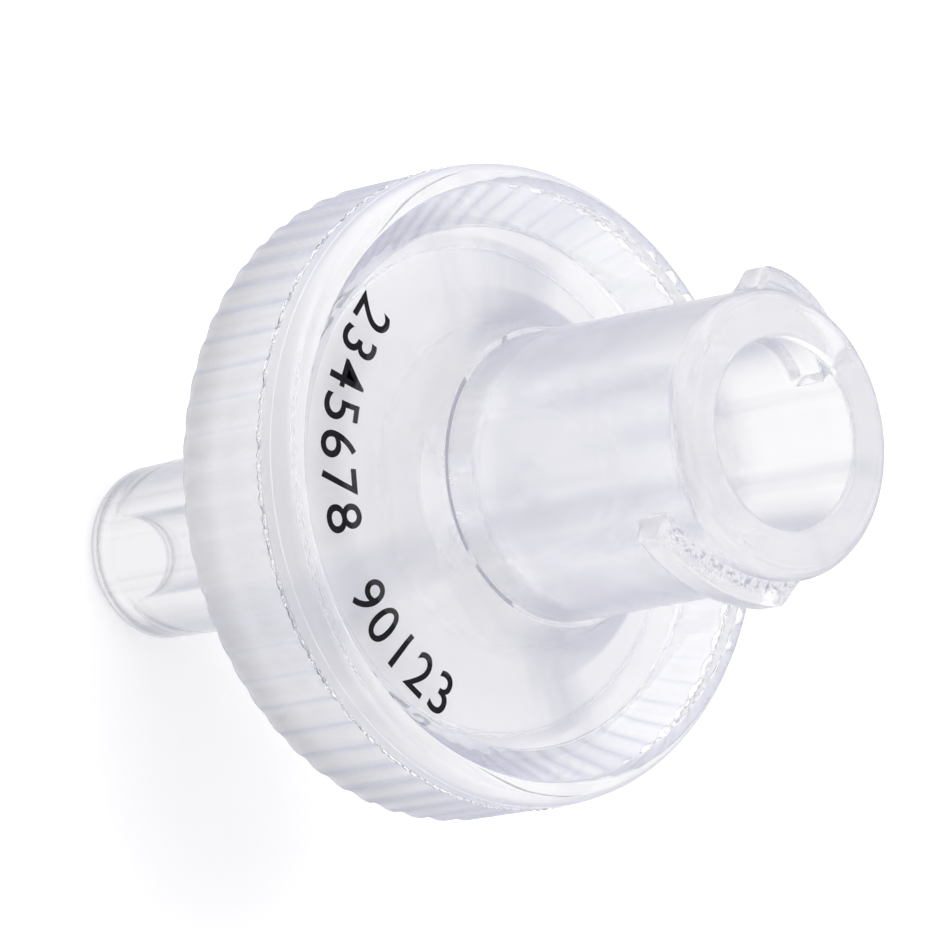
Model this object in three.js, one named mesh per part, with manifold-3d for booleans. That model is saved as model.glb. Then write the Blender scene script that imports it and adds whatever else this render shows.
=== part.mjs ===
// Syringe filter for 13 mm membranes: female Luer lock inlet above, male Luer slip nozzle below.
// Millimetres, +Z up. The filter stands on the end face of its nozzle, and the origin is that face's centre.
// Five pieces share one axis: outlet housing, membrane, prefilter, inlet housing and rim band.
import * as THREE from 'three';
import { mergeVertices } from 'three/addons/utils/BufferGeometryUtils.js';
import Module from 'manifold-3d';

const wasm = await Module();
wasm.setup();

// ---- Driving dimensions --------------------------------------------------------------------------

// Lengths along the axis, from the nozzle's end face up to the mouth of the inlet.
const nozzleLength = 10.2;
const outletPlate = 0.86;
const membraneThickness = 0.14;
const prefilterThickness = 0.3;
const inletPlate = 0.95;
const hubLength = 9.41;

// Luer cones widen by 6 % of their length, measured across.
const luerTaper = 0.06;

// Outlet nozzle.
const nozzleTipRadius = 2.08;
const nozzleBoreRadius = 1.0;
const nozzleEdge = 0.2;
const nozzleFillet = 0.6;
const drainRadius = 0.6;
const drainLength = 1.2;

// Inlet hub: a little wider at its foot than at its mouth, with a rounded lip, and a narrow ledge round
// its foot, on a hollow flare.
const mouthRadius = 2.15;
const mouthEdge = 0.16;
const hubWall = 1.15;
const hubDraft = 0.05;
const lipRound = 0.4;
const flareHeight = 1.95;
const flareSpread = 1.42;
const flareHollow = 0.25;
const footLedge = 0.12;

// Thread lugs: two short lengths of a right-hand thread, opposite each other. Each has a steep front towards
// the mouth and a sloping back, which is the side that a collar pulls on. Arcs are in degrees.
const lugCount = 2;
const lugLead = 5;
const lugHeight = 0.55;
const lugRootWidth = 1.0;
const lugFrontSlope = 0.04;
const lugBackSlope = 0.23;
const lugTopGap = 0.22;
const lugArc = 64;
const lugLeadIn = 8;
const lugLeadOut = 4;
const lugSteps = 16;
const lugRoot = 0.3;

// Passages from the inlet's bore to the filter, the sloping ceiling that spreads the flow and the combed
// face that drains it.
const boreFloorFall = 0.15;
const throatRadius = 0.5;
const throatLength = 2.1;
const dispersalHeight = 0.3;
const dispersalRadius = 1.2;
const ceilingRise = 0.25;
const channelDepth = 0.25;
const ribWidth = 0.36;
const ribCount = 3;
const spokeCount = 6;
const spokeWidth = 0.5;

// Filter stack and the discs that clamp it.
const membraneRadius = 6.5;
const sealWidth = 0.9;
const pocketFit = 0.1;
const discMargin = 0.1;

// Rim band.
const bandFit = 0.05;
const bandWall = 0.83;
const lipCover = 0.67;
const lipSlope = 1.05;
const bandRise = 1.05;
const bandCorner = 0.44;
const bandDrop = 0.35;
const heelEdge = 0.15;
const fluteCount = 60;
const fluteRadius = 0.42;
const fluteDepth = 0.09;
const fluteLand = 0.98;

// Facets round the axis, along rounded edges and round the cutter of a flute, and how near points weld.
const facets = 60;
const roundFacets = 4;
const fluteFacets = 12;
const fluteEndFacets = 2;
const weldDistance = 1e-5;

// ---- Levels and radii that follow ----------------------------------------------------------------

const backLevel = nozzleLength;
const membraneLevel = backLevel + outletPlate;
const prefilterLevel = membraneLevel + membraneThickness;
const ceilingLevel = prefilterLevel + prefilterThickness;
const faceLevel = ceilingLevel + inletPlate;
const mouthLevel = faceLevel + hubLength;

const hubMouthRadius = mouthRadius + hubWall;
const hubFootRadius = hubMouthRadius + hubDraft;
const prefilterRadius = membraneRadius - sealWidth;
const pocketRadius = prefilterRadius + pocketFit;
const discRadius = membraneRadius + discMargin;

// ---- Helpers -------------------------------------------------------------------------------------

/** A closed geometry as a solid, with only its positions left. */
function solid(geometry) {
  geometry.deleteAttribute('normal');
  geometry.deleteAttribute('uv');
  const merged = mergeVertices(geometry, weldDistance);
  const mesh = new wasm.Mesh({
    numProp: 3,
    vertProperties: Float32Array.from(merged.attributes.position.array),
    triVerts: Uint32Array.from(merged.index.array),
  });
  return new wasm.Manifold(mesh);
}

/** One point of a profile. */
function point(radius, height) {
  return new THREE.Vector2(radius, height);
}

/** Points of a rounded edge about a centre, from one angle to another, in degrees. */
function rounded(centreRadius, centreHeight, radius, from, to) {
  return Array.from({ length: roundFacets + 1 }, (_, step) => {
    const angle = THREE.MathUtils.degToRad(from + ((to - from) * step) / roundFacets);
    return point(centreRadius + radius * Math.cos(angle), centreHeight + radius * Math.sin(angle));
  });
}

/** A solid of revolution about Z, from a profile that runs up its outer side and closes on itself. */
function turned(profile) {
  const geometry = new THREE.LatheGeometry([...profile, profile[0]], facets);
  return solid(geometry.rotateX(Math.PI / 2));
}

/** Profile of a combed face, going outwards: ribs at one level and channels between them at another. */
function combed(innerRadius, outerRadius, ribLevel, channelLevel) {
  const pitch = (outerRadius - innerRadius) / (ribCount + 1);
  return Array.from({ length: ribCount }, (_, index) => innerRadius + pitch * (index + 1)).flatMap((middle) => [
    point(middle - ribWidth / 2, channelLevel),
    point(middle - ribWidth / 2, ribLevel),
    point(middle + ribWidth / 2, ribLevel),
    point(middle + ribWidth / 2, channelLevel),
  ]);
}

/** Straight channels that cross the ribs of a combed face, from its inner to its outer radius. */
function spokes(innerRadius, outerRadius, bottom, top) {
  return Array.from({ length: spokeCount }, (_, index) => {
    const bar = new THREE.BoxGeometry(outerRadius - innerRadius, spokeWidth, top - bottom);
    bar.translate((innerRadius + outerRadius) / 2, 0, (bottom + top) / 2);
    bar.rotateZ((2 * Math.PI * (index + 0.5)) / spokeCount);
    return solid(bar);
  });
}

/** A named mesh for a solid, with the look of its material. */
function piece(name, body, look) {
  const { vertProperties, triVerts } = body.getMesh();
  const geometry = new THREE.BufferGeometry();
  geometry.setAttribute('position', new THREE.BufferAttribute(vertProperties, 3));
  geometry.setIndex(new THREE.BufferAttribute(triVerts, 1));
  geometry.computeVertexNormals();
  const mesh = new THREE.Mesh(geometry, new THREE.MeshStandardMaterial(look));
  mesh.name = name;
  return mesh;
}

// ---- Inlet housing -------------------------------------------------------------------------------

/** One lug: its section drawn out straight over the arc, then laid round the hub along the thread. */
function lug(index) {
  const section = new THREE.Shape([
    point(-lugRoot, -lugRootWidth),
    point(0, -lugRootWidth),
    point(lugHeight, lugBackSlope - lugRootWidth),
    point(lugHeight, -lugFrontSlope),
    point(0, 0),
    point(-lugRoot, 0),
  ]);
  const course = { depth: lugArc, steps: lugSteps, bevelEnabled: false };
  const geometry = new THREE.ExtrudeGeometry(section, course);
  const place = geometry.attributes.position;
  for (let corner = 0; corner < place.count; corner += 1) {
    const height = place.getX(corner);
    const along = place.getZ(corner);
    const ramp = Math.min(1, along / lugLeadIn, (lugArc - along) / lugLeadOut);
    const radius = hubMouthRadius + (height > 0 ? height * ramp : height);
    const angle = THREE.MathUtils.degToRad(lugArc / 2 - along + (360 / lugCount) * index);
    const level = mouthLevel - lugTopGap - (lugLead * along) / 360 + place.getY(corner);
    place.setXYZ(corner, radius * Math.cos(angle), radius * Math.sin(angle), level);
  }
  return solid(geometry);
}

/** The inlet housing: hub with its Luer bore, flare, disc, pocket for the prefilter and sloping ceiling. */
function inletHousing() {
  const dispersalLevel = ceilingLevel + ceilingRise;
  const dispersalTop = dispersalLevel + dispersalHeight;
  const boreFloor = dispersalTop + throatLength + boreFloorFall;
  const boreFloorRadius = mouthRadius - (luerTaper / 2) * (mouthLevel - boreFloor);
  const flareTop = faceLevel + flareHeight;
  const ledgeRadius = hubFootRadius + footLedge;
  const flareRadius = hubFootRadius + flareSpread;
  const body = turned([
    point(discRadius, prefilterLevel),
    point(discRadius, faceLevel),
    point(flareRadius, faceLevel),
    point(hubFootRadius + flareSpread / 2 - flareHollow, faceLevel + flareHeight / 2 - flareHollow),
    point(ledgeRadius, flareTop),
    point(hubFootRadius, flareTop),
    ...rounded(hubMouthRadius - lipRound, mouthLevel - lipRound, lipRound, 0, 90),
    point(mouthRadius + mouthEdge, mouthLevel),
    point(mouthRadius, mouthLevel - mouthEdge),
    point(boreFloorRadius, boreFloor),
    point(throatRadius, boreFloor - boreFloorFall),
    point(throatRadius, dispersalTop),
    point(dispersalRadius, dispersalLevel),
    point(pocketRadius, ceilingLevel),
    point(pocketRadius, prefilterLevel),
  ]);
  const lugs = Array.from({ length: lugCount }, (_, index) => lug(index));
  return wasm.Manifold.union([body, ...lugs]);
}

// ---- Outlet housing ------------------------------------------------------------------------------

/** The outlet housing: disc with a combed drain face, and the nozzle with its Luer cone. */
function outletHousing() {
  const footRadius = nozzleTipRadius + (luerTaper / 2) * (backLevel - nozzleFillet);
  const channelLevel = membraneLevel - channelDepth;
  const drainTop = channelLevel - drainLength;
  const drained = combed(drainRadius, pocketRadius, membraneLevel, channelLevel);
  const body = turned([
    point(nozzleBoreRadius + nozzleEdge, 0),
    point(nozzleTipRadius - nozzleEdge, 0),
    point(nozzleTipRadius, nozzleEdge),
    ...rounded(footRadius + nozzleFillet, backLevel - nozzleFillet, nozzleFillet, 180, 90),
    point(discRadius, backLevel),
    point(discRadius, membraneLevel),
    point(pocketRadius, membraneLevel),
    point(pocketRadius, channelLevel),
    ...drained.reverse(),
    point(drainRadius, channelLevel),
    point(drainRadius, drainTop),
    point(nozzleBoreRadius, drainTop - (nozzleBoreRadius - drainRadius)),
    point(nozzleBoreRadius, nozzleEdge),
  ]);
  const channels = spokes(drainRadius, pocketRadius - channelDepth, channelLevel, prefilterLevel);
  return body.subtract(wasm.Manifold.union(channels));
}

// ---- Filter stack --------------------------------------------------------------------------------

/** A plain disc of the filter stack. */
function filterDisc(radius, bottom, thickness) {
  return turned([
    point(0, bottom),
    point(radius, bottom),
    point(radius, bottom + thickness),
    point(0, bottom + thickness),
  ]);
}

// ---- Rim band ------------------------------------------------------------------------------------

/** The rim band: it wraps the edges of both discs, with a lip over each face and a fluted grip. */
function rimBand() {
  const bore = discRadius + bandFit;
  const outer = bore + bandWall;
  const lip = discRadius - lipCover;
  const top = faceLevel + bandRise;
  const bottom = backLevel - bandDrop;
  const body = turned([
    point(lip + bandDrop, bottom),
    point(outer - heelEdge, bottom),
    point(outer, bottom + heelEdge),
    ...rounded(outer - bandCorner, top - bandCorner, bandCorner, 0, 90),
    point(lip + lipSlope, top),
    point(lip, faceLevel),
    point(bore, faceLevel),
    point(bore, backLevel),
    point(lip, backLevel),
  ]);
  const fluteTop = top - fluteLand;
  const cutters = Array.from({ length: fluteCount }, (_, index) => {
    const length = fluteTop - bottom;
    const cutter = new THREE.CapsuleGeometry(fluteRadius, length, fluteEndFacets, fluteFacets);
    cutter.rotateX(Math.PI / 2);
    cutter.translate(outer + fluteRadius - fluteDepth, 0, bottom + length / 2 - fluteRadius);
    cutter.rotateZ((2 * Math.PI * (index + 0.5)) / fluteCount);
    return solid(cutter);
  });
  return body.subtract(wasm.Manifold.union(cutters));
}

// ---- Assembly ------------------------------------------------------------------------------------

const clearPlastic = { color: 0xe9e8f2, roughness: 0.08, metalness: 0, transparent: true, opacity: 0.35 };
const clearRim = { color: 0xe4e3ee, roughness: 0.14, metalness: 0, transparent: true, opacity: 0.4 };
const film = { color: 0xf7f7f5, roughness: 0.5, metalness: 0 };
const glassFibre = { color: 0xf2f1ec, roughness: 0.95, metalness: 0 };

const filter = new THREE.Group();
filter.add(
  piece('outlet_housing', outletHousing(), clearPlastic),
  piece('membrane', filterDisc(membraneRadius, membraneLevel, membraneThickness), film),
  piece('prefilter', filterDisc(prefilterRadius, prefilterLevel, prefilterThickness), glassFibre),
  piece('inlet_housing', inletHousing(), clearPlastic),
  piece('rim_band', rimBand(), clearRim),
);

export default filter;
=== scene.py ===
"""Looks of a clear syringe filter for 13 mm membranes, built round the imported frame.

Metres, +Z up. The filter stands on the end face of its nozzle, its axis is the Z axis and the mouth of
its inlet is at the top. Every shell is one closed surface: a profile, r outwards and z up, that runs up
its outer side and closes on itself, carried round the axis.
"""
import math

import bpy
import numpy as np
from mathutils import Matrix, Vector


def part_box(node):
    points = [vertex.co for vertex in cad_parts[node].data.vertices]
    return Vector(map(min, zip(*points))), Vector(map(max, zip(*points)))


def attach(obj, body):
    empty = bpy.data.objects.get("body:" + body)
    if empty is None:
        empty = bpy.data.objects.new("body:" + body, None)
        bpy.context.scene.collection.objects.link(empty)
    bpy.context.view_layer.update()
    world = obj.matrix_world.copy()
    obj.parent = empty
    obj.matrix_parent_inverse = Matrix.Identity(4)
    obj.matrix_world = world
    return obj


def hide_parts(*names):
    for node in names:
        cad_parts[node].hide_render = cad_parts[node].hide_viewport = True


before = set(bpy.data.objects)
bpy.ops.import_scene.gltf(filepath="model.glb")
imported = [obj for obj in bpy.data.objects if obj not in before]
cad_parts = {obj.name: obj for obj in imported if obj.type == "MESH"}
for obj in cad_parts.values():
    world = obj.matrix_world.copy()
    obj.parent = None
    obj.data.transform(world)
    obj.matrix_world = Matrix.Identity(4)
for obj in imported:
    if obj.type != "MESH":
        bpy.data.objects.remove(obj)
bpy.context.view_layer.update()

MM = 0.001

# ---- Levels and radii from the frame -------------------------------------------------------------

BAND_BOTTOM, BAND_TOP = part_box("rim_band")[0][2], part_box("rim_band")[1][2]
BAND_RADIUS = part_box("rim_band")[1][0]
POCKET_LEVEL, MOUTH_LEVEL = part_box("inlet_housing")[0][2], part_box("inlet_housing")[1][2]
DISC_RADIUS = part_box("inlet_housing")[1][0]
DRAIN_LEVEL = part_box("outlet_housing")[1][2]
CEILING_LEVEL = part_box("prefilter")[1][2]

# ---- Sizes that the shells add -------------------------------------------------------------------

LUER_TAPER = 0.06

HUB_BORE = 2.15 * MM
HUB_WALL = 1.15 * MM
HUB_DRAFT = 0.05 * MM
LIP_ROUND = 0.4 * MM
MOUTH_ROUND = 0.17 * MM
FLARE_HEIGHT = 1.95 * MM
FLARE_SPREAD = 1.42 * MM
FLARE_HOLLOW = 0.25 * MM
FLARE_ROUND = 2.4 * MM
FLARE_FOOT_ROUND = 0.5 * MM
FOOT_LEDGE = 0.12 * MM
FOOT_GROOVE = 0.1 * MM
THROAT_RADIUS = 0.5 * MM
THROAT_LENGTH = 2.1 * MM
BORE_FLOOR_FALL = 0.15 * MM
BORE_FLOOR_ROUND = 0.15 * MM
THROAT_ROUND = 0.08 * MM
DISPERSAL_HEIGHT = 0.3 * MM
DISPERSAL_RADIUS = 1.2 * MM
DISPERSAL_ROUND = 0.1 * MM
POCKET_RADIUS = 5.7 * MM
CEILING_RISE = 0.25 * MM

LUG_COUNT = 2
LUG_LEAD = 5.0 * MM
LUG_HEIGHT = 0.55 * MM
LUG_ROOT_WIDTH = 1.0 * MM
LUG_FRONT_SLOPE = 0.07 * MM
LUG_BACK_SLOPE = 0.23 * MM
LUG_TOP_GAP = 0.22 * MM
LUG_ARC = 64.0
LUG_LEAD_IN = 8.0
LUG_LEAD_OUT = 4.0
LUG_BEND = 0.1
LUG_END_BEND = 0.08
LUG_COLUMNS = (18, 52, 24, 120)
SLIDE_REACH = 2.6 * MM

CHANNEL_DEPTH = 0.25 * MM
RIB_WIDTH = 0.36 * MM
RIB_COUNT = 3
SPOKE_COUNT = 6
SPOKE_WIDTH = 0.5 * MM

NOZZLE_TIP_RADIUS = 2.08 * MM
NOZZLE_BORE_RADIUS = 1.0 * MM
NOZZLE_FILLET = 0.6 * MM
NOZZLE_EDGE = 0.33 * MM
DRAIN_RADIUS = 0.6 * MM
DRAIN_LENGTH = 1.2 * MM
OUTLET_COLUMNS = 360

BAND_FIT = 0.05 * MM
LIP_COVER = 0.67 * MM
LIP_SLOPE = 1.0 * MM
LIP_EDGE = 0.1 * MM
LIP_BACK_EDGE = 0.08 * MM
BAND_RISE = 1.05 * MM
BAND_DROP = 0.35 * MM
BAND_CORNER = 0.42 * MM
BAND_BACK_CORNER = 0.15 * MM
BAND_FACE_CORNER = 0.12 * MM
PARTING_RISE = 0.43 * MM
PARTING_STEP = 0.02 * MM
PARTING_SLOPE = 0.015 * MM
FLUTE_COUNT = 60
FLUTE_RADIUS = 0.42 * MM
FLUTE_DEPTH = 0.09 * MM
FLUTE_LAND = 0.98 * MM
FLUTE_END = 0.05 * MM
FLUTE_BLEND = 0.02 * MM
FLUTE_COLUMNS = 12
FLUTE_END_REACH = 0.15 * MM
FLUTE_CUT_FROM = 0.2 * MM
SIDE_DEPTH = 0.3 * MM
CHIP_DEPTH = 0.03 * MM

EDGE = 0.05 * MM
SHARP = 0.02 * MM
CRISP = 0.01 * MM
CLOSE = 0.01 * MM
SEAL_FILM = 0.005 * MM

ROUND_STEPS = 6
LONGEST_STEP = 0.4 * MM
THREAD_STEP = 0.035 * MM
COMB_STEP = 0.05 * MM
GRIP_STEP = 0.06 * MM
FLUTE_END_STEP = 0.02 * MM

# ---- Where the surface changes -------------------------------------------------------------------

# A side, a rise, a fall or a gap is a range, measured from the edge that it is used with.

HUB_SATIN = 1.0
HUB_SIDE = (0.1 * MM, 0.3 * MM)
HUB_RISE = (0.5 * MM, 2.0 * MM)
MOUTH_SIDE = (0.0, 0.15 * MM)
MOUTH_RISE = (-0.5 * MM, -0.1 * MM)
LIP_POLISH = 0.3
FLARE_SATIN = 0.8
FLARE_SIDE = (0.0, 0.3 * MM)
FLARE_FLOOR = 0.5 * MM
THROAT_SATIN = 3.0
THROAT_RISE = (0.0, 0.5 * MM)

NOZZLE_SATIN = 0.2
TIP_SATIN = 2.0
TIP_FALL = (0.1 * MM, 0.6 * MM)
TIP_RING_HEIGHT = 0.28 * MM
TIP_RING_BORE = 1.4 * MM

LUG_TORN = (-0.1, 0.8)
LUG_TORN_RAMP = 0.1

LAND_SATIN = 0.4
GRIP_GRAIN = 0.5
TORN_GRAIN = 0.3
TORN_RISE = (-0.08 * MM, 0.0)
TORN_FALL = (0.04 * MM, 0.12 * MM)
FROST_GAP = (-0.05 * MM, 0.12 * MM)

# Painted shade lies on one side, round this angle: a dark line at the hub's foot and dark dashes at the
# flutes' ends.
SHADED_SIDE = math.radians(120)
GROOVE_GRAIN = 0.2
GROOVE_MARGIN = 0.03 * MM
GROOVE_REACH = 0.62
GROOVE_WAVES = ((0.2, 9, 0), (0.15, 23, 1))
DASH_REACH = 0.6
DASH_WAVES = ((0.25, 13, 0), (0.2, 37, 1))
DASH_HALF_LENGTH = 0.3 * MM
DASH_HALF_HEIGHT = 0.035 * MM

# Painted shade: each of these streaks up the hub has its middle and its width in degrees, and its share
# of the deeper tint.
SHADE_STREAKS = ((72.0, 9.0, 0.4), (128.0, 3.0, 0.15))
SHADE_STREAK_RISE = (-0.1 * MM, 0.4 * MM)
SHADE_STREAK_FALL = (-2.6 * MM, -0.9 * MM)

# ---- Levels and radii of the shells --------------------------------------------------------------

FACE_LEVEL = BAND_TOP - BAND_RISE
BACK_LEVEL = BAND_BOTTOM + BAND_DROP
LIP_RADIUS = DISC_RADIUS - LIP_COVER
HUB_RADIUS = HUB_BORE + HUB_WALL
HUB_FOOT_RADIUS = HUB_RADIUS + HUB_DRAFT
FLARE_TOP = FACE_LEVEL + FLARE_HEIGHT
SEAL_LEVEL = POCKET_LEVEL + SEAL_FILM
DISPERSAL_LEVEL = CEILING_LEVEL + CEILING_RISE
DISPERSAL_TOP = DISPERSAL_LEVEL + DISPERSAL_HEIGHT
BORE_FLOOR = DISPERSAL_TOP + THROAT_LENGTH + BORE_FLOOR_FALL
LUG_MIDDLE = MOUTH_LEVEL - LUG_TOP_GAP - LUG_ROOT_WIDTH / 2 - LUG_LEAD * LUG_ARC / 720
BAND_BORE = DISC_RADIUS + BAND_FIT
BAND_SKIN = BAND_RADIUS - 2 * EDGE
FLUTE_TOP = BAND_TOP - FLUTE_LAND
PARTING_LEVEL = FLUTE_TOP + PARTING_RISE


# ---- Profiles and grids --------------------------------------------------------------------------

def unit(vectors):
    """Each vector over its own length."""
    return vectors / np.linalg.norm(vectors, axis=-1, keepdims=True)


def softened(corners):
    """A closed profile with its corners (r, z, radius) rounded.

    Each corner is cut back along both its sides by radius / tan(half), half being half the angle between
    the sides. The arc from one cut to the other is about the point on the bisector at radius / sin(half).
    """
    corners = np.array(corners)
    place, radius = corners[:, :2], corners[:, 2:]
    back = unit(np.roll(place, 1, axis=0) - place)
    ahead = unit(np.roll(place, -1, axis=0) - place)
    half = np.arccos(np.clip((back * ahead).sum(axis=1, keepdims=True), -1, 1)) / 2
    middle = place + unit(back + ahead) * radius / np.sin(half)
    first = place + back * radius / np.tan(half) - middle
    last = place + ahead * radius / np.tan(half) - middle
    turn = np.pi - 2 * half
    share = np.linspace(0, 1, ROUND_STEPS)[:, None, None]
    arc = (np.sin((1 - share) * turn) * first + np.sin(share * turn) * last) / np.sin(turn) + middle
    return arc.transpose(1, 0, 2).reshape(-1, 2)


def filled(profile, longest):
    """The same closed profile with its sides cut evenly, so that none is longer than the length given."""
    ahead = np.roll(profile, -1, axis=0)
    pieces = np.maximum(1, np.ceil(np.hypot(*(ahead - profile).T) / longest)).astype(int)
    side = np.repeat(np.arange(len(profile)), pieces)
    place = np.arange(pieces.sum()) - np.repeat(np.cumsum(pieces) - pieces, pieces)
    share = (place / pieces[side])[:, None]
    return profile[side] * (1 - share) + ahead[side] * share


def step_up(value, low, high):
    """0 below low, 1 above high and a smooth cubic between them."""
    share = np.clip((value - low) / (high - low), 0, 1)
    return share * share * (3 - 2 * share)


def span(value, rise, fall):
    """1 between two smooth steps: one up over the first range and one down over the second."""
    return step_up(value, *rise) * (1 - step_up(value, *fall))


def clipped(value, round_off):
    """A value held between 0 and 1, with both bends rounded off: half the difference of two hyperbolas."""
    return (np.sqrt(value**2 + round_off**2) - np.sqrt((value - 1) ** 2 + round_off**2) + 1) / 2


def ring(name, radius, height, angle, slot, satin, grain, flow_and_shade, *materials):
    """A surface closed both round its profile (rows) and round the axis (columns).

    A point is (r cos a, r sin a, z). Each face joins a row and a column to the next ones, so that it
    looks to the right of the way in which the profile runs. Satin is 0 where the mould was polished, 1
    where it was dull and more where it was rough. Grain is 1 where the surface is torn, and less where it
    is only pitted. The last finish is the share of the deeper tint in a broad band of painted shade.
    """
    finishes = {"satin": satin, "grain": grain, "flow_and_shade": flow_and_shade}
    radius, height, angle = np.broadcast_arrays(radius, height, angle)
    rows, columns = radius.shape
    points = np.stack([radius * np.cos(angle), radius * np.sin(angle), height], axis=-1)
    number = np.arange(rows * columns).reshape(rows, columns)
    right = np.roll(number, -1, axis=1)
    faces = np.stack([number, right, np.roll(right, -1, axis=0), np.roll(number, -1, axis=0)], axis=-1)
    mesh = bpy.data.meshes.new(name)
    mesh.from_pydata(points.reshape(-1, 3), [], faces.reshape(-1, 4))
    mesh.shade_smooth()
    for key, finish in finishes.items():
        values = np.broadcast_to(finish, radius.shape).astype(np.float32)
        mesh.attributes.new(key, "FLOAT", "POINT").data.foreach_set("value", values.ravel())
    for material in materials:
        mesh.materials.append(material)
    piece = bpy.data.objects.new(name, mesh)
    bpy.context.scene.collection.objects.link(piece)
    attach(piece, "root")
    return piece


def ragged(angle, middle, *waves):
    """The cosine of the angle from a middle, plus sines of given share, count and offset.

    Where it passes a limit there is a line, whole at the middle and broken up towards its ends.
    """
    extra = sum(share * np.sin(count * angle + offset) for share, count, offset in waves)
    return np.cos(angle - middle) + extra


def chipped(angle, height):
    """Chips between -1 and 1: the product of two sines, with steep sides from a hyperbolic tangent.

    One sine has 97 waves to a turn, the other 61 that sway, and the height shifts them opposite ways.
    """
    first = np.sin(97 * angle + 9000 * height)
    second = np.sin(61 * angle - 21000 * height + 2 * np.sin(31 * angle))
    return np.tanh(3 * first * second)


def within(mask):
    """The faces whose four corners are all in a mask over rows and columns."""
    corners = mask & np.roll(mask, -1, axis=0)
    return corners & np.roll(corners, -1, axis=1)


def cover(piece, *masks):
    """Gives the faces within each mask their own material, the first mask the second material.

    A later mask holds over an earlier one.
    """
    number = np.zeros(len(piece.data.polygons), dtype=np.int32)
    for place, mask in enumerate(masks, start=1):
        number[within(mask).ravel()] = place
    piece.data.polygons.foreach_set("material_index", number)


# ---- Nodes ---------------------------------------------------------------------------------------

class Value:
    """One output of a shader's nodes. Arithmetic on it adds Math nodes."""

    def __init__(self, nodes, socket):
        self.nodes = nodes
        self.socket = socket

    def math(self, operation, *terms):
        return self.nodes.add("ShaderNodeMath", {"operation": operation}, *terms)

    def __add__(self, other):
        return self.math("ADD", self, other)

    def __radd__(self, other):
        return self.math("ADD", other, self)

    def __mul__(self, other):
        return self.math("MULTIPLY", self, other)

    def __rmul__(self, other):
        return self.math("MULTIPLY", other, self)

    def between(self, low, high):
        """0 at low, 1 at high and a smooth step between them."""
        return self.nodes.add(
            "ShaderNodeMapRange", {"interpolation_type": "SMOOTHSTEP"}, self, low, high, 0.0, 1.0
        )


class Nodes:
    """The node tree of a material or of the world."""

    def __init__(self, owner):
        owner.use_nodes = True
        self.tree = owner.node_tree
        self.tree.nodes.clear()

    def add(self, kind, settings=None, *inputs, out=0, **named):
        """Adds a node, sets its settings and then its sockets, in order or by name. Gives one output.

        A socket whose value is None keeps its own. An output node gives nothing.
        """
        node = self.tree.nodes.new(kind)
        for key, value in (settings or {}).items():
            setattr(node, key, value)
        sockets = list(zip(node.inputs, inputs))
        sockets += [(node.inputs[key.replace("_", " ")], value) for key, value in named.items()]
        for socket, value in sockets:
            if isinstance(value, Value):
                self.tree.links.new(value.socket, socket)
            elif value is not None:
                socket.default_value = value
        return Value(self, node.outputs[out]) if node.outputs else None

    def ray(self, kind):
        """1 for a ray of this kind, such as Is Camera Ray, and 0 for any other."""
        return self.add("ShaderNodeLightPath", out=kind)

    def attribute(self, name):
        """What ring wrote on the points of the surface under this name."""
        return self.add("ShaderNodeAttribute", {"attribute_name": name}, out="Fac")

    def noise(self, scale, detail, roughness=0.5):
        """Noise with about so many features to the metre."""
        place = self.add("ShaderNodeTexCoord", out="Object")
        return self.add(
            "ShaderNodeTexNoise", Vector=place, Scale=scale, Detail=detail, Roughness=roughness,
        )

    def flow_lines(self, seed, count):
        """Noise drawn out along the way that the plastic ran: away from the axis and along it.

        It's read at (x / r, y / r, 0) plus a few times the point itself, so that it changes chiefly round
        the axis.
        """
        place = self.add("ShaderNodeTexCoord", out="Object")
        flat = self.add("ShaderNodeVectorMath", {"operation": "MULTIPLY"}, place, (1.0, 1.0, 0.0))
        around = self.add("ShaderNodeVectorMath", {"operation": "NORMALIZE"}, flat)
        along = self.add("ShaderNodeVectorMath", {"operation": "MULTIPLY"}, place, FLOW_DRIFT)
        spot = self.add("ShaderNodeVectorMath", {"operation": "ADD"}, around, along)
        return self.add(
            "ShaderNodeTexNoise", {"noise_dimensions": "4D"}, Vector=spot, W=seed, Scale=count, Detail=3.0
        )

    def mixed(self, share, low, high):
        """One colour where the share is 0, the other where it is 1."""
        unused = [None] * 5
        return self.add("ShaderNodeMix", {"data_type": "RGBA"}, share, *unused, low, high, out=2)

    def bumped(self, height, strength, distance):
        """The normal of a relief whose height of 1 stands up by the distance."""
        return self.add("ShaderNodeBump", Strength=strength, Distance=distance, Height=height)

    def shader(self, surface, out="Material"):
        """Joins a surface to the output."""
        self.add(f"ShaderNodeOutput{out}", None, surface)


def new_material(name):
    """An empty material and its nodes."""
    material = bpy.data.materials.new(name)
    return material, Nodes(material)


# ---- Finishes ------------------------------------------------------------------------------------

PLASTIC_IOR = 1.53
GLANCING = (0.38, 0.74)
SHADOW_TINT = (0.93, 0.93, 0.94, 1)
RIPPLE_SCALE = 900.0
PIT_SCALE = 7000.0
SPECK_SCALE = 11000.0
RELIEF = 0.05 * MM
TORN_TINT = (0.35, 0.35, 0.45, 1)
TORN_FROM = (0.55, 1.0)
SPECK_BANDS = (0.52, 0.62)
FLOW_SEED = 1.3
FLOW_BANDS = (0.52, 0.7)
FLOW_DEPTH = 0.32
FLOW_COUNT = 3.0
FLOW_DRIFT = (15.0, 15.0, 15.0)


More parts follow.
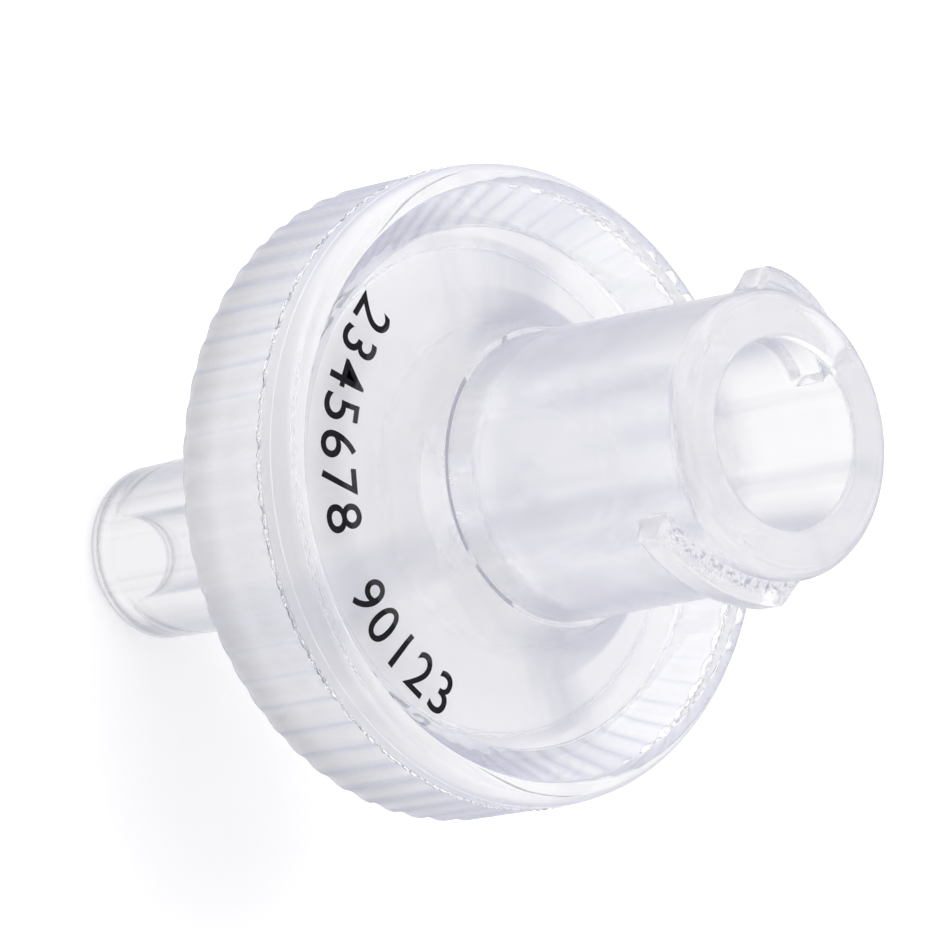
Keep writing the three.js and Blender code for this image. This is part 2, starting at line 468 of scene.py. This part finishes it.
def clear_moulding(
    name, tint, deep_tint, clearness=1.0, polished=0.03, dull=0.22, ripple=0.05, pitting=0.8
):
    """Clear moulded plastic, with the deeper tint that a long way through it gives at a glancing angle.

    The deeper tint also lies in faint lines drawn out along the way the plastic ran, which are partly
    painted shade, and in the broad streaks of painted shade. Satin takes the roughness from polished to
    dull, grain deepens the pits, and where the plastic is torn it's specked with a dark tint.
    Light that only casts a shadow passes with little loss.
    """
    material, nodes = new_material(name)
    satin = nodes.attribute("satin")
    grain = nodes.attribute("grain")
    streak = nodes.attribute("flow_and_shade")
    roughness = polished + (dull - polished) * satin

    wave = nodes.noise(RIPPLE_SCALE, detail=1.0)
    pits = nodes.noise(PIT_SCALE, detail=2.0, roughness=0.6)
    relief = wave * ripple + grain * pits * pitting

    glancing = nodes.add("ShaderNodeLayerWeight", Blend=0.5, out="Facing")
    deeper = nodes.mixed(glancing.between(*GLANCING), tint, deep_tint)
    # Painted shade: the broad streaks, and in part the faint lines, deepen the tint.
    flow_and_shade = nodes.flow_lines(FLOW_SEED, FLOW_COUNT)
    streaked = nodes.mixed(flow_and_shade.between(*FLOW_BANDS) * FLOW_DEPTH + streak, deeper, deep_tint)
    specks = nodes.noise(SPECK_SCALE, detail=1.0)
    torn = grain.between(*TORN_FROM) * specks.between(*SPECK_BANDS)
    colour = nodes.mixed(torn, streaked, TORN_TINT)

    plastic = nodes.add(
        "ShaderNodeBsdfPrincipled", Base_Color=colour, Roughness=roughness, IOR=PLASTIC_IOR,
        Transmission_Weight=clearness, Normal=nodes.bumped(relief, 1.0, RELIEF),
    )
    passed = nodes.add("ShaderNodeBsdfTransparent", Color=SHADOW_TINT)
    nodes.shader(nodes.add("ShaderNodeMixShader", None, nodes.ray("Is Shadow Ray"), plastic, passed))
    return material


def fused_joint(name):
    """Where two mouldings are welded into one body of plastic, their common face isn't there for light."""
    material, nodes = new_material(name)
    nodes.shader(nodes.add("ShaderNodeBsdfPrincipled", Alpha=0.0))
    return material


def filter_sheet(name, colour, fibre, depth):
    """White filter sheet, slightly uneven, with a fine felted relief."""
    material, nodes = new_material(name)
    grain = nodes.noise(fibre, detail=4.0, roughness=0.6)
    sheet = nodes.add(
        "ShaderNodeBsdfPrincipled", Base_Color=colour, Roughness=0.9,
        Normal=nodes.bumped(grain, 0.6, depth),
    )
    nodes.shader(sheet)
    return material


def black_ink(name):
    """Dull black ink."""
    material, nodes = new_material(name)
    nodes.shader(nodes.add(
        "ShaderNodeBsdfPrincipled", Base_Color=(0.004, 0.004, 0.006, 1), Roughness=0.5,
        Specular_IOR_Level=0.2,
    ))
    return material


# ---- Inlet housing -------------------------------------------------------------------------------

def combed(radius, angle, inner, outer, count):
    """1 on the ring ribs of a combed face and 0 in its channels and along its spokes.

    The ribs are evenly spaced between two radii. A spoke is a straight channel out from the axis, and
    its distance from a point is r times the sine of the angle between them.
    """
    pitch = (outer - inner) / (count + 1)
    place = (radius - inner) / pitch
    off_rib = np.abs(place - np.clip(np.round(place), 1, count)) * pitch
    rib = 1 - step_up(off_rib, RIB_WIDTH / 2 - EDGE / 2, RIB_WIDTH / 2 + EDGE / 2)
    sector = 2 * np.pi / SPOKE_COUNT
    off_spoke = np.abs(radius * np.sin((angle % sector) - sector / 2))
    return rib * step_up(off_spoke, SPOKE_WIDTH / 2 - EDGE, SPOKE_WIDTH / 2 + EDGE)


def lug_columns():
    """Angles round the hub, with more of them where a lug starts and ends.

    The counts are for its lead-out, its middle, its lead-in and the gap to the next one.
    """
    sector = 360.0 / LUG_COUNT
    half = LUG_ARC / 2
    stops = [-half - 1, -half + LUG_LEAD_OUT + 1, half - LUG_LEAD_IN - 1, half + 1, sector - half - 1]
    spans = [np.linspace(a, b, n, endpoint=False) for a, b, n in zip(stops, stops[1:], LUG_COLUMNS)]
    one = np.concatenate(spans)
    return np.radians(np.concatenate([one + sector * lug for lug in range(LUG_COUNT)]))


def lug_turn(angle):
    """The angle from the middle of the nearest lug, in degrees, between plus and minus half a sector."""
    sector = 360.0 / LUG_COUNT
    return (np.degrees(angle) + sector / 2) % sector - sector / 2


def inlet_profile():
    """The inlet's section: up its rim, over its face, up the hub, down the bore and along the ceiling."""
    bore_floor_radius = HUB_BORE - LUER_TAPER / 2 * (MOUTH_LEVEL - BORE_FLOOR)
    flare_middle = HUB_FOOT_RADIUS + FLARE_SPREAD / 2 - FLARE_HOLLOW
    corners = [
        (DISC_RADIUS, SEAL_LEVEL, EDGE),
        (DISC_RADIUS, FACE_LEVEL, EDGE),
        (HUB_FOOT_RADIUS + FLARE_SPREAD, FACE_LEVEL, FLARE_FOOT_ROUND),
        (flare_middle, FACE_LEVEL + FLARE_HEIGHT / 2 - FLARE_HOLLOW, FLARE_ROUND),
        (HUB_FOOT_RADIUS + FOOT_LEDGE, FLARE_TOP, SHARP),
        (HUB_FOOT_RADIUS, FLARE_TOP - FOOT_GROOVE, SHARP),
        (HUB_RADIUS, MOUTH_LEVEL, LIP_ROUND),
        (HUB_BORE, MOUTH_LEVEL, MOUTH_ROUND),
        (bore_floor_radius, BORE_FLOOR, BORE_FLOOR_ROUND),
        (THROAT_RADIUS, BORE_FLOOR - BORE_FLOOR_FALL, THROAT_ROUND),
        (THROAT_RADIUS, DISPERSAL_TOP, THROAT_ROUND),
        (DISPERSAL_RADIUS, DISPERSAL_LEVEL, DISPERSAL_ROUND),
        (POCKET_RADIUS, CEILING_LEVEL, EDGE),
        (POCKET_RADIUS, SEAL_LEVEL, SHARP),
    ]
    profile = filled(softened(corners), LONGEST_STEP)
    on_hub = (profile[:, 0] > HUB_BORE + HUB_WALL / 2) & (profile[:, 1] > LUG_MIDDLE - LUG_ROOT_WIDTH)
    return filled(profile, np.where(on_hub, THREAD_STEP, 1.0))


def threaded(profile):
    """The inlet's radius, height and angle with its lugs, and where the flank of one lug is torn.

    The rows round the hub slide along the profile with the thread, by lead / 360 for each degree and back
    between the lugs, so that they follow the flanks. A lug's section is a trapezoid with soft bends,
    times a ramp at each end. The front flank faces the mouth.
    """
    angle = lug_columns()[None, :]
    run = np.concatenate([[0], np.cumsum(np.hypot(*np.diff(profile, axis=0).T))])
    outside = np.arange(len(profile)) <= profile[:, 1].argmax()
    middle_run = np.interp(LUG_MIDDLE, profile[outside, 1], run[outside])
    face_run = run[outside & (profile[:, 1] > MOUTH_LEVEL - CLOSE)].min()
    turn = lug_turn(angle)
    half, rest = LUG_ARC / 2, 180.0 / LUG_COUNT
    beyond = np.clip(np.abs(turn) - half, 0, None) * np.sign(turn)
    climb = np.clip(turn, -half, half) - beyond * half / (rest - half)
    off = run[:, None] - middle_run
    window = step_up(off, -SLIDE_REACH, -LUG_ROOT_WIDTH / 2)
    window *= 1 - np.clip((off - LUG_ROOT_WIDTH / 2) / (face_run - middle_run - LUG_ROOT_WIDTH / 2), 0, 1)
    slid = run[:, None] + window * climb * LUG_LEAD / 360
    radius = np.interp(slid, run, profile[:, 0])
    height = np.interp(slid, run, profile[:, 1])

    front = (LUG_ROOT_WIDTH / 2 - off) / LUG_FRONT_SLOPE
    back = (LUG_ROOT_WIDTH / 2 + off) / LUG_BACK_SLOPE
    section = clipped(np.minimum(front, back), LUG_BEND)
    ends = np.minimum((half - turn) / LUG_LEAD_IN, (half + turn) / LUG_LEAD_OUT)
    ramp = clipped(ends, LUG_END_BEND)
    crest = HUB_RADIUS + LUG_HEIGHT
    on_lug = (np.abs(off) < LUG_ROOT_WIDTH) & (np.abs(turn) < half + 2)
    radius = radius + np.where(on_lug, (crest - radius) * section * ramp, 0)
    torn = on_lug & (np.cos(angle) < 0) & (ramp > LUG_TORN_RAMP)
    torn = torn & (front > LUG_TORN[0]) & (front < LUG_TORN[1])
    return radius, height, angle, torn


def inlet_satin(radius, height):
    """Satin on the hub, the mouth, the flare and the throat. Where they overlap, the greatest holds.

    The rounding of the lip is a little more polished.
    """
    outer = step_up(radius - HUB_BORE, *HUB_SIDE) * step_up(height - FACE_LEVEL, *HUB_RISE)
    mouth = step_up(radius - HUB_BORE, *MOUTH_SIDE) * step_up(height - MOUTH_LEVEL, *MOUTH_RISE)
    flare = step_up(radius - HUB_FOOT_RADIUS, *FLARE_SIDE) * (height > CEILING_LEVEL + FLARE_FLOOR)
    under = (1 - step_up(height - BORE_FLOOR, *THROAT_RISE)) * (radius < HUB_BORE)
    under = np.clip(under + (height < DISPERSAL_LEVEL + EDGE), 0, 1)
    satin = np.maximum.reduce([HUB_SATIN * outer, mouth, FLARE_SATIN * flare, THROAT_SATIN * under])
    rounding = step_up(radius, HUB_RADIUS - LIP_ROUND, HUB_RADIUS - LIP_ROUND / 2)
    rounding = rounding * step_up(height, MOUTH_LEVEL - 1.5 * LIP_ROUND, MOUTH_LEVEL - 0.8 * LIP_ROUND)
    return satin * (1 - LIP_POLISH * rounding)


def hub_shade_streaks(radius, height, angle):
    """Painted shade: streaks up the hub. One fades with the angle from its middle as a bell curve does."""
    off = [(np.degrees(angle) - middle) / width for middle, width, share in SHADE_STREAKS]
    streak = sum(share * np.exp(-(away**2)) for away, (middle, width, share) in zip(off, SHADE_STREAKS))
    streak = streak * step_up(height - FLARE_TOP, *SHADE_STREAK_RISE) * (radius > HUB_BORE + HUB_WALL / 2)
    return streak * (1 - step_up(height - MOUTH_LEVEL, *SHADE_STREAK_FALL))


def inlet_housing(clear, joint, painted_shade):
    """Hub with its Luer bore, flare, disc, pocket for the prefilter and sloping ceiling, as one moulding.

    The recess round the hub's foot has painted shade on one side: a dark line that breaks up towards its
    ends.
    """
    radius, height, angle, torn = threaded(inlet_profile())
    ledge = (height > FLARE_TOP - FOOT_GROOVE - GROOVE_MARGIN) & (height < FLARE_TOP + GROOVE_MARGIN)
    ledge = ledge & (np.abs(radius - HUB_FOOT_RADIUS - FOOT_LEDGE / 2) < FOOT_LEDGE)
    # Painted shade: a dark line on one side of the ledge at the hub's foot.
    shaded_groove = ledge & (ragged(angle, SHADED_SIDE, *GROOVE_WAVES) > GROOVE_REACH)
    satin = inlet_satin(radius, height)
    grain = np.maximum(1.0 * torn, GROOVE_GRAIN * ledge)
    # Painted shade: streaks up the hub, in the deeper tint.
    streak = hub_shade_streaks(radius, height, angle)
    materials = clear, joint, painted_shade
    piece = ring("inlet_shell", radius, height, angle, "clear_plastic", satin, grain, streak, *materials)
    sealed = (radius > POCKET_RADIUS + EDGE) & (height < SEAL_LEVEL + EDGE)
    under_lip = (radius > LIP_RADIUS + EDGE) & (height < FACE_LEVEL + EDGE)
    cover(piece, sealed | under_lip, shaded_groove)
    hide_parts("inlet_housing")


# ---- Outlet housing ------------------------------------------------------------------------------

def outlet_housing(clear, joint, shaded_tip):
    """Disc with a combed drain face, and the nozzle with its Luer cone, as one moulding.

    The profile runs along the channels of the face, and a rib raises its points by the channels' depth.
    The ring round the nozzle's end is duller than the rest, and greyer with painted shade.
    """
    foot_radius = NOZZLE_TIP_RADIUS + LUER_TAPER / 2 * (BACK_LEVEL - NOZZLE_FILLET)
    channel = DRAIN_LEVEL - CHANNEL_DEPTH
    drain_top = channel - DRAIN_LENGTH
    corners = [
        (NOZZLE_BORE_RADIUS, 0, NOZZLE_EDGE),
        (NOZZLE_TIP_RADIUS, 0, NOZZLE_EDGE),
        (foot_radius, BACK_LEVEL, NOZZLE_FILLET),
        (DISC_RADIUS, BACK_LEVEL, EDGE),
        (DISC_RADIUS, DRAIN_LEVEL, EDGE),
        (POCKET_RADIUS, DRAIN_LEVEL, EDGE),
        (POCKET_RADIUS, channel, EDGE),
        (DRAIN_RADIUS, channel, EDGE),
        (DRAIN_RADIUS, drain_top, EDGE),
        (NOZZLE_BORE_RADIUS, drain_top - NOZZLE_BORE_RADIUS + DRAIN_RADIUS, EDGE),
    ]
    profile = filled(softened(corners), LONGEST_STEP)
    on_face = (np.abs(profile[:, 1] - channel) < EDGE / 2) & (profile[:, 0] > DRAIN_RADIUS)
    profile = filled(profile, np.where(on_face, COMB_STEP, 1.0))
    angle = np.linspace(0, 2 * np.pi, OUTLET_COLUMNS, endpoint=False)[None, :]
    radius, height = np.broadcast_arrays(profile[:, :1], profile[:, 1:], angle)[:2]
    rib = combed(radius, angle, DRAIN_RADIUS, POCKET_RADIUS, RIB_COUNT)
    face = (np.abs(height - channel) < EDGE / 2) & (radius > DRAIN_RADIUS) & (radius < POCKET_RADIUS - EDGE)
    height = height + np.where(face, CHANNEL_DEPTH * rib, 0)
    tip = 1 - step_up(height, *TIP_FALL)
    satin = NOZZLE_SATIN + (TIP_SATIN - NOZZLE_SATIN) * tip
    materials = clear, joint, shaded_tip
    piece = ring("outlet_shell", radius, height, angle, "clear_plastic", satin, 0, 0, *materials)
    under_lip = (radius > LIP_RADIUS + EDGE) & (height < DRAIN_LEVEL - EDGE)
    # Painted shade: the ring round the nozzle's end gets a greyer plastic.
    end_ring = (height < TIP_RING_HEIGHT) & (radius > TIP_RING_BORE)
    cover(piece, under_lip, end_ring)
    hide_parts("outlet_housing")


# ---- Rim band ------------------------------------------------------------------------------------

def band_profile():
    """The band's section: up its side, in over the top lip, down its bore and in to the bottom lip."""
    upper_radius = BAND_RADIUS - PARTING_STEP
    corners = [
        (LIP_RADIUS + BAND_DROP, BAND_BOTTOM, LIP_BACK_EDGE),
        (BAND_RADIUS, BAND_BOTTOM, BAND_BACK_CORNER),
        (BAND_RADIUS, PARTING_LEVEL, CRISP),
        (upper_radius, PARTING_LEVEL + PARTING_SLOPE, CRISP),
        (upper_radius, BAND_TOP, BAND_CORNER),
        (LIP_RADIUS + LIP_SLOPE, BAND_TOP, BAND_FACE_CORNER),
        (LIP_RADIUS, FACE_LEVEL, LIP_EDGE),
        (BAND_BORE, FACE_LEVEL, EDGE),
        (BAND_BORE, BACK_LEVEL, EDGE),
        (LIP_RADIUS, BACK_LEVEL, EDGE),
    ]
    profile = filled(softened(corners), LONGEST_STEP)
    on_grip = (profile[:, 0] > BAND_SKIN) & (profile[:, 1] < PARTING_LEVEL)
    profile = filled(profile, np.where(on_grip, GRIP_STEP, 1.0))
    at_end = (profile[:, 0] > BAND_SKIN) & (np.abs(profile[:, 1] - FLUTE_TOP) < FLUTE_END_REACH)
    return filled(profile, np.where(at_end, FLUTE_END_STEP, 1.0))


def fluted(radius, height, across):
    """The band's radius with its flutes scooped out.

    A flute is the mark of a rod with a ball end. Its surface lies at R + rod - depth minus
    sqrt(rod^2 - x^2 - h^2), x being the distance round the band and h the height above the ball's middle.
    """
    above = np.clip(height - (FLUTE_TOP - FLUTE_END), 0, None) * FLUTE_RADIUS / FLUTE_END
    inside = FLUTE_RADIUS**2 - across**2 - above**2
    scooped = BAND_RADIUS + FLUTE_RADIUS - FLUTE_DEPTH - np.sqrt(np.clip(inside, 0, None))
    gap = radius - scooped
    cut = (gap + np.sqrt(gap**2 + FLUTE_BLEND**2)) / 2
    return radius - np.where(radius > BAND_BORE + FLUTE_CUT_FROM, cut, 0)


def rim_band(clear, joint, frosted, painted_shade):
    """The band round both discs: a lip over each face and a grip with scooped flutes.

    The side is frosted but for a strip at the flutes' ends, where the plastic is chipped and, on one
    side, has a dash of painted shade at each flute.
    """
    profile = band_profile()
    angle = np.linspace(0, 2 * np.pi, FLUTE_COUNT * FLUTE_COLUMNS, endpoint=False)[None, :]
    sector = 2 * np.pi / FLUTE_COUNT
    across = BAND_RADIUS * np.sin((angle % sector) - sector / 2)
    radius = fluted(profile[:, :1], profile[:, 1:], across)
    height = np.broadcast_to(profile[:, 1:], radius.shape)
    side = radius > BAND_RADIUS - SIDE_DEPTH
    above_end = height - FLUTE_TOP
    torn = side * span(above_end, TORN_RISE, TORN_FALL)
    radius = radius - torn * CHIP_DEPTH * chipped(angle, height)

    grip = side & (above_end < FROST_GAP[0])
    frost = grip | (side & (above_end > FROST_GAP[1]))
    land = side & (above_end > 0) & (radius > BAND_SKIN)
    satin = np.maximum(1.0 * grip, LAND_SATIN * land)
    grain = np.maximum(GRIP_GRAIN * grip, TORN_GRAIN * torn)
    materials = clear, joint, frosted, painted_shade
    piece = ring("rim_grip", radius, height, angle, "clear_rim", satin, grain, 0, *materials)
    # Painted shade: dark dashes at the flutes' ends, on one side.
    dashes = side & (np.abs(above_end) < DASH_HALF_HEIGHT) & (np.abs(across) < DASH_HALF_LENGTH)
    dashes = dashes & (ragged(angle, SHADED_SIDE, *DASH_WAVES) > DASH_REACH)
    inner = (radius < BAND_BORE + EDGE) & (radius > LIP_RADIUS + EDGE)
    inner = inner & (height > BACK_LEVEL - EDGE) & (height < FACE_LEVEL + EDGE)
    cover(piece, inner, frost, dashes)
    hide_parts("rim_band")


# ---- Print ---------------------------------------------------------------------------------------

PRINT_CENTRE = (0.47 * MM, -0.7 * MM)
PRINT_FOOT_RADIUS = 6.35 * MM
PRINT_HEIGHT = 1.06 * MM
PRINT_THICKNESS = 0.008 * MM
PRINT_LIFT = 0.1
PRINT_STROKE = 0.004
PRINT_SPACING = 1.15
PRINT_ARCS = (("numerals_low", "2345678", 73.0, 128.5), ("numerals_high", "90123", 141.0, 176.0))


def printed(name, words, start, end, ink):
    """Plain numerals printed on the face, bent round an arc with their heads towards the hub.

    The stamp sat a little off the axis and has its own centre. A letter's point at (x, y) goes to the
    angle start + x / width times the arc, and to the foot's radius less y.
    """
    curve = bpy.data.curves.new(name, "FONT")
    curve.body = words
    curve.offset = PRINT_STROKE
    curve.space_character = PRINT_SPACING
    curve.extrude = 1.0
    text = bpy.data.objects.new(name + "_flat", curve)
    mesh = bpy.data.meshes.new_from_object(text)
    bpy.data.objects.remove(text)
    points = np.empty(len(mesh.vertices) * 3, dtype=np.float32)
    mesh.vertices.foreach_get("co", points)
    points = points.reshape(-1, 3)
    low, high = points.min(axis=0), points.max(axis=0)
    along, up, through = ((points - low) / (high - low)).T
    angle = np.radians(start + along * (end - start))
    radius = PRINT_FOOT_RADIUS - up * PRINT_HEIGHT
    level = FACE_LEVEL + (PRINT_LIFT + through) * PRINT_THICKNESS
    x, y = PRINT_CENTRE
    bent = np.stack([x + radius * np.cos(angle), y + radius * np.sin(angle), level], axis=-1)
    mesh.vertices.foreach_set("co", bent.astype(np.float32).ravel())
    mesh.materials.clear()
    mesh.materials.append(ink)
    piece = bpy.data.objects.new(name, mesh)
    bpy.context.scene.collection.objects.link(piece)
    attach(piece, "root")


# ---- Stage ---------------------------------------------------------------------------------------

CAMERA = {"azimuth": 125.75, "elevation": 46.63, "roll": 79.08, "distance": 185.6 * MM, "lens": 303.16}
CAMERA_TARGET = Vector((0.549, -0.087, 11.270)) * MM


def aim(azimuth, elevation, roll, target, distance):
    """A place on a sphere round the target, looking at it, turned about the line of sight by the roll."""
    a, e, t = np.radians([azimuth, elevation, roll])
    back = Vector((math.cos(e) * math.cos(a), math.cos(e) * math.sin(a), math.sin(e)))
    level = Vector((-math.sin(a), math.cos(a), 0))
    over = back.cross(level)
    right = level * math.cos(t) + over * math.sin(t)
    up = over * math.cos(t) - level * math.sin(t)
    turn = Matrix((right, up, back)).transposed().to_4x4()
    return Matrix.Translation(target + back * distance) @ turn


def camera():
    """A long lens that looks down on the inlet at a slant. Its roll lays the axis almost level."""
    data = bpy.data.cameras.new("camera")
    data.lens = CAMERA["lens"]
    data.clip_start = 10 * MM
    view = bpy.data.objects.new("camera", data)
    view.matrix_world = aim(
        CAMERA["azimuth"], CAMERA["elevation"], CAMERA["roll"], CAMERA_TARGET, CAMERA["distance"]
    )
    bpy.context.scene.collection.objects.link(view)
    bpy.context.scene.camera = view


FLOOR_GLOW = 0.14
FLOOR_WHITE = 0.98
FLOOR_HALF_WIDTH = 300 * MM
# Painted shadow: what is seen of the floor through the filter or mirrored in it is this grey near the axis.
FLOOR_SHADOW_GREY = (0.92, 0.92, 0.93, 1)
FLOOR_SHADOW_EDGE = (2 * MM, 7 * MM)
WHITE = (1, 1, 1, 1)


def floor():
    """A wide white floor.

    To the camera it is matt, with a glow that makes up its white, so that the filter's shadow shows on
    it. What is seen through the filter or mirrored in it is plain white, with a painted shadow of light
    grey near the axis.
    """
    half = FLOOR_HALF_WIDTH
    mesh = bpy.data.meshes.new("floor")
    corners = [(-half, -half, 0), (half, -half, 0), (half, half, 0), (-half, half, 0)]
    mesh.from_pydata(corners, [], [(0, 1, 2, 3)])
    material, nodes = new_material("white_floor")
    matt = nodes.add("ShaderNodeBsdfDiffuse", Color=(FLOOR_WHITE, FLOOR_WHITE, FLOOR_WHITE, 1))
    glow = nodes.add("ShaderNodeEmission", Color=WHITE, Strength=FLOOR_GLOW)
    white = nodes.add("ShaderNodeAddShader", None, matt, glow)
    place = nodes.add("ShaderNodeTexCoord", out="Object")
    away = nodes.add("ShaderNodeVectorMath", {"operation": "LENGTH"}, place, out="Value")
    # Painted shadow under the filter, for what is seen through it or mirrored in it.
    shadowed_floor = nodes.mixed(away.between(*FLOOR_SHADOW_EDGE), FLOOR_SHADOW_GREY, WHITE)
    through = nodes.add("ShaderNodeEmission", Color=shadowed_floor, Strength=1.0)
    nodes.shader(nodes.add("ShaderNodeMixShader", None, nodes.ray("Is Camera Ray"), through, white))
    mesh.materials.append(material)
    piece = bpy.data.objects.new("floor", mesh)
    bpy.context.scene.collection.objects.link(piece)


DOME_PLAIN = 0.78
DOME_OVERHEAD = 0.13
DOME_RISE = (0.5, 1.0)
DOME_TINT = (0.99, 0.985, 1.0, 1)
# Azimuth, elevation and strength.
SIDE_LIGHTS = ((40, 18, 0.75), (210, 18, 0.8))
CAMERA_GAP = (130, 20, -0.55)
LIGHT_EDGE = (0.7, 0.88)


def dome():
    """Light from all round: plain, brighter overhead and on both sides, and dimmer behind the camera.

    A side light is a soft disc: a smooth step in the cosine of the angle from its own direction. Straight
    to the camera the dome is white.
    """
    world = bpy.data.worlds.new("white_dome")
    bpy.context.scene.world = world
    nodes = Nodes(world)
    way = nodes.add("ShaderNodeTexCoord", out="Generated")
    rise = nodes.add("ShaderNodeSeparateXYZ", None, way, out=2)
    shade = DOME_PLAIN + DOME_OVERHEAD * rise.between(*DOME_RISE)
    for azimuth, elevation, strength in (*SIDE_LIGHTS, CAMERA_GAP):
        a, e = np.radians([azimuth, elevation])
        towards = (math.cos(e) * math.cos(a), math.cos(e) * math.sin(a), math.sin(e))
        near = nodes.add("ShaderNodeVectorMath", {"operation": "DOT_PRODUCT"}, way, towards, out="Value")
        shade = shade + strength * near.between(*LIGHT_EDGE)
    seen = nodes.ray("Is Camera Ray")
    lit = nodes.add("ShaderNodeBackground", None, DOME_TINT, shade)
    white = nodes.add("ShaderNodeBackground", None, WHITE, 1.0)
    nodes.shader(nodes.add("ShaderNodeMixShader", None, seen, lit, white), "World")


FILL_LIGHT = {"azimuth": 40, "elevation": 60, "distance": 250 * MM, "size": 200 * MM, "power": 0.3}


def fill_light():
    """A square soft lamp that faces the middle of the filter. It lights matt things and isn't mirrored."""
    data = bpy.data.lights.new("fill_light", "AREA")
    data.size = FILL_LIGHT["size"]
    data.energy = FILL_LIGHT["power"]
    light = bpy.data.objects.new("fill_light", data)
    middle = Vector((0, 0, BACK_LEVEL))
    light.matrix_world = aim(
        FILL_LIGHT["azimuth"], FILL_LIGHT["elevation"], 0, middle, FILL_LIGHT["distance"]
    )
    light.visible_glossy = False
    light.visible_transmission = False
    bpy.context.scene.collection.objects.link(light)


# ---- The filter ----------------------------------------------------------------------------------

rim_deep = (0.6, 0.6, 0.7, 1)
clear = clear_moulding("clear_plastic", (0.975, 0.975, 0.986, 1), (0.5, 0.5, 0.61, 1))
# Painted shade: the outlet's copy of the clear plastic is darker than the inlet's.
clear_outlet = clear_moulding("clear_outlet", (0.957, 0.957, 0.97, 1), (0.42, 0.42, 0.52, 1))
clear_rim = clear_moulding(
    "clear_rim", (0.965, 0.965, 0.976, 1), rim_deep, clearness=0.97, polished=0.06, dull=0.4, ripple=0.08
)
frosted_rim = clear_moulding(
    "frosted_rim", (0.88, 0.88, 0.905, 1), rim_deep, clearness=0.75, polished=0.3, dull=0.9,
    ripple=0.15, pitting=0.5,
)
# Painted shade: a greyer, duller copy of the clear plastic for the ring round the nozzle's end.
shaded_tip = clear_moulding("shaded_tip", (0.88, 0.88, 0.88, 1), (0.6, 0.6, 0.62, 1), polished=0.1, dull=0.2)
# Painted shade: a dark plastic for the line at the hub's foot and the dashes at the flutes' ends.
painted_shade = clear_moulding(
    "foot_groove_shade", (0.3, 0.3, 0.38, 1), (0.25, 0.25, 0.33, 1), polished=0.1, dull=0.3, ripple=0.1
)
joint = fused_joint("fused_joint")

inlet_housing(clear, joint, painted_shade)
outlet_housing(clear_outlet, joint, shaded_tip)
rim_band(clear_rim, joint, frosted_rim, painted_shade)

sheets = {
    "membrane": filter_sheet("membrane_film", (0.92, 0.92, 0.91, 1), 9000.0, 0.01 * MM),
    "prefilter": filter_sheet("glass_fibre", (0.9, 0.9, 0.89, 1), 7000.0, 0.03 * MM),
}
for node, sheet in sheets.items():
    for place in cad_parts[node].material_slots:
        place.material = sheet

ink = black_ink("black_ink")
for name, words, start, end in PRINT_ARCS:
    printed(name, words, start, end, ink)

floor()
dome()
fill_light()
camera()

BOUNCES = 24
for limit in ("max_bounces", "transmission_bounces", "glossy_bounces", "transparent_max_bounces"):
    setattr(bpy.context.scene.cycles, limit, BOUNCES)
bpy.context.scene.view_settings.view_transform = "Standard"
